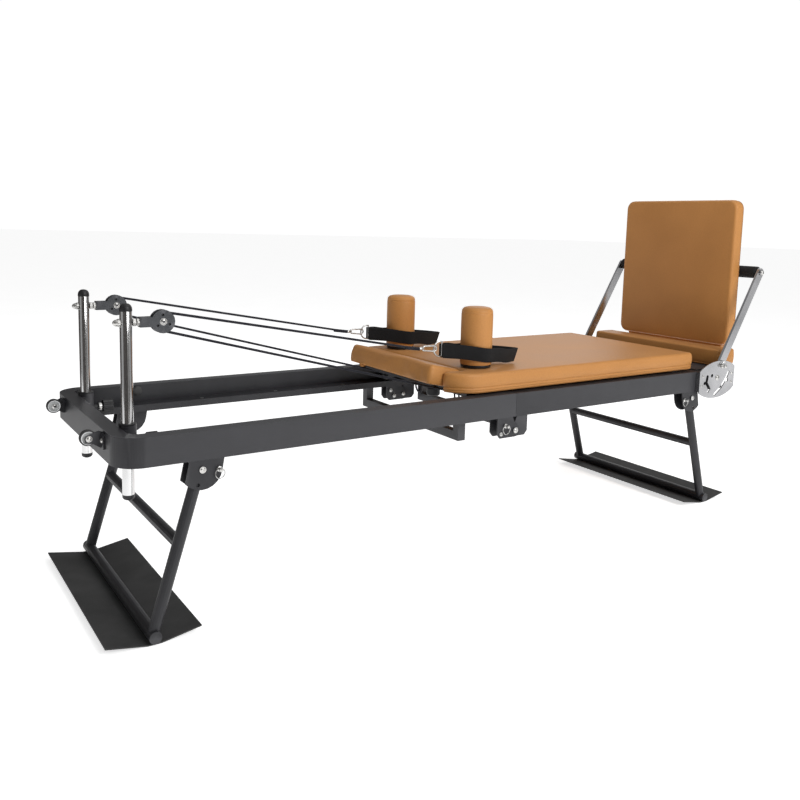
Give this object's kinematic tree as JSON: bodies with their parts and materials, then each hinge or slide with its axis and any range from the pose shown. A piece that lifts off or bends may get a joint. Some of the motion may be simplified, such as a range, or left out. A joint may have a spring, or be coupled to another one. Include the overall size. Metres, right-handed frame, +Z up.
{
  "type": "pilates reformer",
  "caption": "Folding pilates reformer: rail frame on folding legs, sliding padded carriage with pulley ropes, and a tilting footbar carrying a padded jump board.",
  "frame": {"origin": "centre of the footprint, at floor level, in the pictured use position", "axes": "+X along the rails from the pulley end to the footbar end, +Y across to the side away from the viewer, +Z up"},
  "size_m": [2.2284, 0.6636, 1.03],
  "materials": {
    "satin_black_steel": "satin black powder coat",
    "polished_chrome": "polished chrome plate",
    "zinc_steel": "bright zinc plate",
    "black_plastic": "moulded black plastic",
    "grey_wheel": "light grey hub with a black tread",
    "black_rubber": "ribbed black rubber",
    "grip_foam": "closed-cell foam",
    "tan_upholstery": "tan stitched upholstery over foam",
    "black_webbing": "woven nylon webbing",
    "black_cord": "braided cord"
  },
  "bodies": {
    "front_half": {"front_frame": "satin_black_steel", "front_cross_member": "satin_black_steel", "fold_bracket_front_near": "satin_black_steel", "fold_bracket_front_far": "satin_black_steel", "front_leg_bracket_near": "satin_black_steel", "front_leg_bracket_far": "satin_black_steel", "post_sleeve_near": "satin_black_steel", "post_sleeve_far": "satin_black_steel"},
    "rear_half": {"rear_frame": "satin_black_steel", "rear_cross_member": "satin_black_steel", "fold_bracket_rear_near": "satin_black_steel", "fold_bracket_rear_far": "satin_black_steel", "rear_leg_bracket_near": "satin_black_steel", "rear_leg_bracket_far": "satin_black_steel", "footbar_lock_plate_near": "polished_chrome", "footbar_lock_plate_far": "polished_chrome", "resistance_spring_near": "zinc_steel", "resistance_spring_far": "zinc_steel", "foot_pad": "tan_upholstery"},
    "front_legs": {"front_leg_frame": "satin_black_steel"},
    "rear_legs": {"rear_leg_frame": "satin_black_steel"},
    "front_mat": {"front_floor_mat": "black_rubber"},
    "rear_mat": {"rear_floor_mat": "black_rubber"},
    "carriage": {"carriage_frame": "satin_black_steel", "carriage_pad": "tan_upholstery", "strap_loop_near": "black_webbing", "strap_loop_far": "black_webbing"},
    "headrest": {"headrest_pad": "tan_upholstery", "headrest_plate": "satin_black_steel"},
    "headrest_clamp": {"headrest_knob": "black_plastic"},
    "spring_hook": {"spring_yoke": "zinc_steel"},
    "footbar": {"footbar": "polished_chrome", "footbar_grip": "grip_foam"},
    "board": {"jump_board": "tan_upholstery"},
    "post_near": {"pulley_post_near": "polished_chrome", "pulley_block_near": "zinc_steel", "pull_rope_near": "black_cord"},
    "sheave_near": {"pulley_sheave_near": "black_plastic"},
    "clamp_near": {"post_clamp_knob_near": "black_plastic"},
    "wheel_near": {"transport_wheel_near": "grey_wheel"},
    "rest_near": {"shoulder_rest_near": "tan_upholstery"},
    "front_roller_near": {"front_roller_near": "black_plastic"},
    "rear_roller_near": {"rear_roller_near": "black_plastic"},
    "fold_lock_near": {"fold_lock_pin_near": "zinc_steel"},
    "front_leg_lock_near": {"front_leg_plunger_near": "zinc_steel"},
    "rear_leg_lock_near": {"rear_leg_plunger_near": "zinc_steel"},
    "footbar_lock_near": {"footbar_plunger_near": "zinc_steel"},
    "post_far": {"pulley_post_far": "polished_chrome", "pulley_block_far": "zinc_steel", "pull_rope_far": "black_cord"},
    "sheave_far": {"pulley_sheave_far": "black_plastic"},
    "clamp_far": {"post_clamp_knob_far": "black_plastic"},
    "wheel_far": {"transport_wheel_far": "grey_wheel"},
    "rest_far": {"shoulder_rest_far": "tan_upholstery"},
    "front_roller_far": {"front_roller_far": "black_plastic"},
    "rear_roller_far": {"rear_roller_far": "black_plastic"},
    "fold_lock_far": {"fold_lock_pin_far": "zinc_steel"},
    "front_leg_lock_far": {"front_leg_plunger_far": "zinc_steel"},
    "rear_leg_lock_far": {"rear_leg_plunger_far": "zinc_steel"},
    "footbar_lock_far": {"footbar_plunger_far": "zinc_steel"}
  },
  "joints": [
    {"name": "frame_fold", "type": "hinge", "parent": "front_half", "child": "rear_half", "pos_m": [0.00725, 0, 0.356], "axis": [0, 1, 0], "range_deg": [0, 177]},
    {"name": "front_leg_fold", "type": "hinge", "parent": "front_half", "child": "front_legs", "pos_m": [-0.88875, 0, 0.374], "axis": [0, -1, 0], "range_deg": [0, 107]},
    {"name": "rear_leg_fold", "type": "hinge", "parent": "rear_half", "child": "rear_legs", "pos_m": [0.77625, 0, 0.374], "axis": [0, 1, 0], "range_deg": [0, 107]},
    {"name": "front_mat_swivel", "type": "hinge", "parent": "front_legs", "child": "front_mat", "pos_m": [-0.99475, 0, 0.0175], "axis": [0, -1, 0], "range_deg": [-98, 1]},
    {"name": "rear_mat_swivel", "type": "hinge", "parent": "rear_legs", "child": "rear_mat", "pos_m": [0.88225, 0, 0.0175], "axis": [0, 1, 0], "range_deg": [-98, 1]},
    {"name": "carriage_slide", "type": "slide", "parent": "front_half", "child": "carriage", "axis": [1, 0, 0], "range_m": [-0.62, 0], "stiffness_N_per_m": 400, "springref_m": 0.05, "deforming": ["resistance_spring_near", "resistance_spring_far", "pull_rope_near", "pull_rope_far"]},
    {"name": "spring_hook_slide", "type": "slide", "parent": "rear_half", "child": "spring_hook", "axis": [1, 0, 0], "range_m": [-0.62, 0]},
    {"name": "headrest_tilt", "type": "hinge", "parent": "carriage", "child": "headrest", "pos_m": [-0.11775, 0, 0.524], "axis": [0, 1, 0], "range_deg": [0, 14]},
    {"name": "headrest_clamp_turn", "type": "hinge", "parent": "carriage", "child": "headrest_clamp", "pos_m": [-0.09375, -0.046, 0.44], "axis": [0, 0, 1], "range_deg": [0, 360]},
    {"name": "footbar_tilt", "type": "hinge", "parent": "rear_half", "child": "footbar", "pos_m": [0.88025, 0, 0.437], "axis": [0, -1, 0], "range_deg": [-27, 88]},
    {"name": "board_lift", "type": "slide", "parent": "footbar", "child": "board", "axis": [0, 0, 1], "range_m": [0, 0.06]},
    {"name": "post_height_near", "type": "slide", "parent": "front_half", "child": "post_near", "axis": [0, 0, 1], "range_m": [-0.06, 0.06], "deforming": ["pull_rope_near"]},
    {"name": "sheave_spin_near", "type": "hinge", "parent": "post_near", "child": "sheave_near", "pos_m": [-0.93875, -0.191, 0.688], "axis": [0, 1, 0], "continuous": true},
    {"name": "post_clamp_turn_near", "type": "hinge", "parent": "front_half", "child": "clamp_near", "pos_m": [-0.97575, -0.191, 0.427], "axis": [1, 0, 0], "range_deg": [0, 540]},
    {"name": "wheel_spin_near", "type": "hinge", "parent": "front_half", "child": "wheel_near", "pos_m": [-1.09675, -0.176, 0.442], "axis": [0, 1, 0], "continuous": true},
    {"name": "rest_lift_near", "type": "slide", "parent": "carriage", "child": "rest_near", "axis": [0, 0, 1], "range_m": [0, 0.065]},
    {"name": "front_roller_spin_near", "type": "hinge", "parent": "carriage", "child": "front_roller_near", "pos_m": [-0.07875, -0.24, 0.4333], "axis": [0, 1, 0], "range_deg": [-1780, 10]},
    {"name": "rear_roller_spin_near", "type": "hinge", "parent": "carriage", "child": "rear_roller_near", "pos_m": [0.74125, -0.24, 0.4333], "axis": [0, 1, 0], "range_deg": [-1780, 10]},
    {"name": "fold_lock_pull_near", "type": "slide", "parent": "front_half", "child": "fold_lock_near", "axis": [0, -1, 0], "range_m": [0, 0.01], "stiffness_N_per_m": 600, "springref_m": -0.004},
    {"name": "front_leg_lock_pull_near", "type": "slide", "parent": "front_half", "child": "front_leg_lock_near", "axis": [0, -1, 0], "range_m": [0, 0.01], "stiffness_N_per_m": 600, "springref_m": -0.004},
    {"name": "rear_leg_lock_pull_near", "type": "slide", "parent": "rear_half", "child": "rear_leg_lock_near", "axis": [0, -1, 0], "range_m": [0, 0.01], "stiffness_N_per_m": 600, "springref_m": -0.004},
    {"name": "footbar_lock_pull_near", "type": "slide", "parent": "footbar", "child": "footbar_lock_near", "axis": [0, -1, 0], "range_m": [0, 0.01], "stiffness_N_per_m": 800, "springref_m": -0.004},
    {"name": "post_height_far", "type": "slide", "parent": "front_half", "child": "post_far", "axis": [0, 0, 1], "range_m": [-0.06, 0.06], "deforming": ["pull_rope_far"]},
    {"name": "sheave_spin_far", "type": "hinge", "parent": "post_far", "child": "sheave_far", "pos_m": [-0.93875, 0.191, 0.688], "axis": [0, 1, 0], "continuous": true},
    {"name": "post_clamp_turn_far", "type": "hinge", "parent": "front_half", "child": "clamp_far", "pos_m": [-0.97575, 0.191, 0.427], "axis": [1, 0, 0], "range_deg": [0, 540]},
    {"name": "wheel_spin_far", "type": "hinge", "parent": "front_half", "child": "wheel_far", "pos_m": [-1.09675, 0.176, 0.442], "axis": [0, 1, 0], "continuous": true},
    {"name": "rest_lift_far", "type": "slide", "parent": "carriage", "child": "rest_far", "axis": [0, 0, 1], "range_m": [0, 0.065]},
    {"name": "front_roller_spin_far", "type": "hinge", "parent": "carriage", "child": "front_roller_far", "pos_m": [-0.07875, 0.24, 0.4333], "axis": [0, 1, 0], "range_deg": [-1780, 10]},
    {"name": "rear_roller_spin_far", "type": "hinge", "parent": "carriage", "child": "rear_roller_far", "pos_m": [0.74125, 0.24, 0.4333], "axis": [0, 1, 0], "range_deg": [-1780, 10]},
    {"name": "fold_lock_pull_far", "type": "slide", "parent": "front_half", "child": "fold_lock_far", "axis": [0, 1, 0], "range_m": [0, 0.01], "stiffness_N_per_m": 600, "springref_m": -0.004},
    {"name": "front_leg_lock_pull_far", "type": "slide", "parent": "front_half", "child": "front_leg_lock_far", "axis": [0, 1, 0], "range_m": [0, 0.01], "stiffness_N_per_m": 600, "springref_m": -0.004},
    {"name": "rear_leg_lock_pull_far", "type": "slide", "parent": "rear_half", "child": "rear_leg_lock_far", "axis": [0, 1, 0], "range_m": [0, 0.01], "stiffness_N_per_m": 600, "springref_m": -0.004},
    {"name": "footbar_lock_pull_far", "type": "slide", "parent": "footbar", "child": "footbar_lock_far", "axis": [0, 1, 0], "range_m": [0, 0.01], "stiffness_N_per_m": 800, "springref_m": -0.004}
  ],
  "couplings": [
    {"joint": "front_leg_fold", "follows": "frame_fold", "ratio": 0.602},
    {"joint": "rear_leg_fold", "follows": "frame_fold", "ratio": 0.602},
    {"joint": "front_mat_swivel", "follows": "frame_fold", "ratio": -0.5513},
    {"joint": "rear_mat_swivel", "follows": "frame_fold", "ratio": -0.5513},
    {"joint": "spring_hook_slide", "follows": "carriage_slide", "ratio": 1},
    {"joint": "front_roller_spin_near", "follows": "carriage_slide", "rad_per_m": 50},
    {"joint": "front_roller_spin_far", "follows": "carriage_slide", "rad_per_m": 50},
    {"joint": "rear_roller_spin_near", "follows": "carriage_slide", "rad_per_m": 50},
    {"joint": "rear_roller_spin_far", "follows": "carriage_slide", "rad_per_m": 50}
  ]
}
